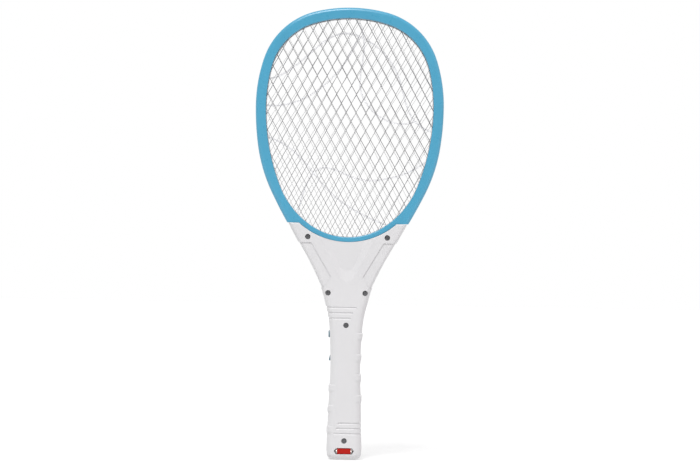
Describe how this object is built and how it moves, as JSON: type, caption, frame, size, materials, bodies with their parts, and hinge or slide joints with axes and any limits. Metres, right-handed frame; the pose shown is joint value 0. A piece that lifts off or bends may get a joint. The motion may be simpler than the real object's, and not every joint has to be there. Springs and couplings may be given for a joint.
{
  "type": "electric fly swatter",
  "caption": "Racket-shaped electric fly swatter: blue rim round layered metal mesh, white two-shell grip with screws, a fire button and two slide controls.",
  "frame": {"origin": "centre of the bounding box's bottom, on the flat end of the butt", "axes": "+Z from the butt up the handle to the head, -Y out of the screw side, +Y out of the lamp side"},
  "size_m": [0.2044, 0.03, 0.4905],
  "materials": {
    "rim_plastic": "glossy sky-blue moulded plastic",
    "web_plastic": "light grey moulded plastic",
    "mesh_metal": "expanded metal, dull silver",
    "spacer_plastic": "plain moulded insulator",
    "terminal_brass": "punched brass strip",
    "handle_plastic": "white moulded plastic, fine satin texture",
    "screw_steel": "blackened steel",
    "control_plastic": "blue-grey moulded plastic",
    "switch_plastic": "black moulded plastic",
    "switch_metal": "plated sheet steel",
    "red_plastic": "red moulded plastic",
    "pin_steel": "bright plated steel",
    "cell_wrap": "shrink wrap",
    "tab_nickel": "nickel strip",
    "wire_insulation": "soft insulation",
    "hv_insulation": "soft red insulation",
    "board_laminate": "green solder mask",
    "port_steel": "stamped steel shell",
    "ferrite": "sintered ferrite",
    "winding_wire": "taped copper winding",
    "capacitor_shell": "dipped film capacitor",
    "diode_body": "black epoxy",
    "resistor_body": "lacquered body",
    "clear_lens": "clear polished plastic",
    "reflector_chrome": "metallised cup",
    "indicator_lens": "red diffused lens"
  },
  "bodies": {
    "root": {"rear_rim": "rim_plastic", "front_rim": "rim_plastic", "rib_web": "web_plastic", "rear_guard_grid": "mesh_metal", "hv_grid": "mesh_metal", "front_guard_grid": "mesh_metal", "rear_grid_spacer": "spacer_plastic", "front_grid_spacer": "spacer_plastic", "hv_terminal": "terminal_brass", "guard_terminal": "terminal_brass", "rear_shell": "handle_plastic", "front_shell": "handle_plastic", "case_screws": "screw_steel", "fire_switch_body": "switch_plastic", "lamp_switch_body": "switch_metal", "mode_switch_body": "switch_metal", "battery_cell": "cell_wrap", "battery_positive_tab": "tab_nickel", "battery_negative_tab": "tab_nickel", "battery_leads": "wire_insulation", "charge_board": "board_laminate", "charge_port": "port_steel", "charge_leads": "wire_insulation", "main_board": "board_laminate", "board_screws": "screw_steel", "transformer_core": "ferrite", "transformer_winding": "winding_wire", "storage_capacitor": "capacitor_shell", "multiplier_diodes": "diode_body", "resistors": "resistor_body", "switching_transistor": "diode_body", "hv_lead": "hv_insulation", "ground_lead": "wire_insulation", "torch_lens": "clear_lens", "torch_reflector": "reflector_chrome", "torch_led": "clear_lens", "torch_leads": "wire_insulation", "indicator_led": "indicator_lens"},
    "fire_button": {"fire_button": "control_plastic", "fire_switch_stem": "switch_plastic"},
    "lamp_slide": {"lamp_slide_knob": "control_plastic", "lamp_switch_actuator": "switch_plastic"},
    "mode_slide": {"mode_slide_knob": "red_plastic", "mode_slide_pin": "pin_steel", "mode_switch_actuator": "switch_plastic"}
  },
  "joints": [
    {"name": "fire_press", "type": "slide", "parent": "root", "child": "fire_button", "axis": [1, 0, 0], "range_m": [0, 0.0012], "stiffness_N_per_m": 400, "springref_m": -0.0025},
    {"name": "lamp_shift", "type": "slide", "parent": "root", "child": "lamp_slide", "axis": [0, 0, 1], "range_m": [0, 0.004]},
    {"name": "mode_shift", "type": "slide", "parent": "root", "child": "mode_slide", "axis": [1, 0, 0], "range_m": [-0.0012, 0.0012]}
  ]
}
